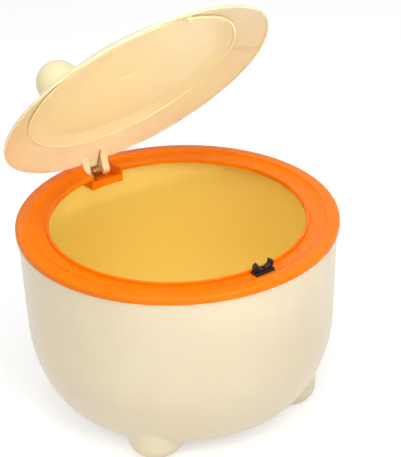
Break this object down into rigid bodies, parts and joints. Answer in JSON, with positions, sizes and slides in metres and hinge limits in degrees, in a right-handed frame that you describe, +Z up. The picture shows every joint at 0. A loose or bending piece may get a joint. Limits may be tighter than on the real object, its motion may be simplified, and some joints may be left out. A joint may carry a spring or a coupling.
{
  "type": "litter disposal pail",
  "caption": "Footed round pail with a lift-out bucket, an orange bag ring, a sprung flip lid with two ear-shaped knobs and a push-to-open touch latch.",
  "frame": {"origin": "on the surface the feet stand on, under the pail's vertical axis", "axes": "+Z up, the latch towards -Y, the lid's hinge towards +Y, +X to the right seen from the latch"},
  "size_m": [0.24, 0.2394, 0.3175],
  "materials": {
    "shell_plastic": "smooth moulded cream",
    "bucket_plastic": "smooth moulded amber",
    "ring_plastic": "glossy moulded orange",
    "lid_plastic": "translucent cream",
    "liner_plastic": "translucent warm cream",
    "catch_plastic": "off-white",
    "latch_plastic": "glossy black",
    "steel": "drawn wire",
    "spring_steel": "zinc plated, yellow passivated"
  },
  "bodies": {
    "pail": {"outer_shell": "shell_plastic"},
    "bucket": {"inner_bucket": "bucket_plastic"},
    "ring": {"top_ring": "ring_plastic", "hinge_pin": "steel", "torsion_spring": "spring_steel", "latch_housing": "latch_plastic", "latch_spring": "spring_steel", "latch_follower": "steel"},
    "lid": {"lid_cover": "lid_plastic", "lid_liner": "liner_plastic", "lid_catch": "catch_plastic"},
    "slider": {"latch_slider": "latch_plastic"},
    "jaw_left": {"latch_jaw_left": "latch_plastic"},
    "jaw_right": {"latch_jaw_right": "latch_plastic"}
  },
  "joints": [
    {"name": "bucket_lift", "type": "slide", "parent": "pail", "child": "bucket", "axis": [0, 0, 1], "range_m": [0, 0.135]},
    {"name": "ring_lift", "type": "slide", "parent": "bucket", "child": "ring", "axis": [0, 0, 1], "range_m": [0, 0.04]},
    {"name": "lid_hinge", "type": "hinge", "parent": "ring", "child": "lid", "pos_m": [0, 0.1118, 0.1446], "axis": [-1, 0, 0], "range_deg": [-49.5, 0], "stiffness_Nm_per_rad": 0.08, "springref_deg": 80.21, "deforming": ["torsion_spring"]},
    {"name": "slider_push", "type": "slide", "parent": "ring", "child": "slider", "axis": [0, 0, 1], "range_m": [-0.0058, 0], "deforming": ["latch_spring"]},
    {"name": "jaw_left_swing", "type": "hinge", "parent": "slider", "child": "jaw_left", "pos_m": [-0.0042, -0.101, 0.1496], "axis": [0, -1, 0], "range_deg": [-32, 0]},
    {"name": "jaw_right_swing", "type": "hinge", "parent": "slider", "child": "jaw_right", "pos_m": [0.0042, -0.101, 0.1496], "axis": [0, 1, 0], "range_deg": [-32, 0]}
  ],
  "couplings": [
    {"joint": "slider_push", "follows": "lid_hinge", "m_per_rad": 0.006713},
    {"joint": "jaw_left_swing", "follows": "lid_hinge", "ratio": 0.6464},
    {"joint": "jaw_right_swing", "follows": "lid_hinge", "ratio": 0.6464}
  ]
}
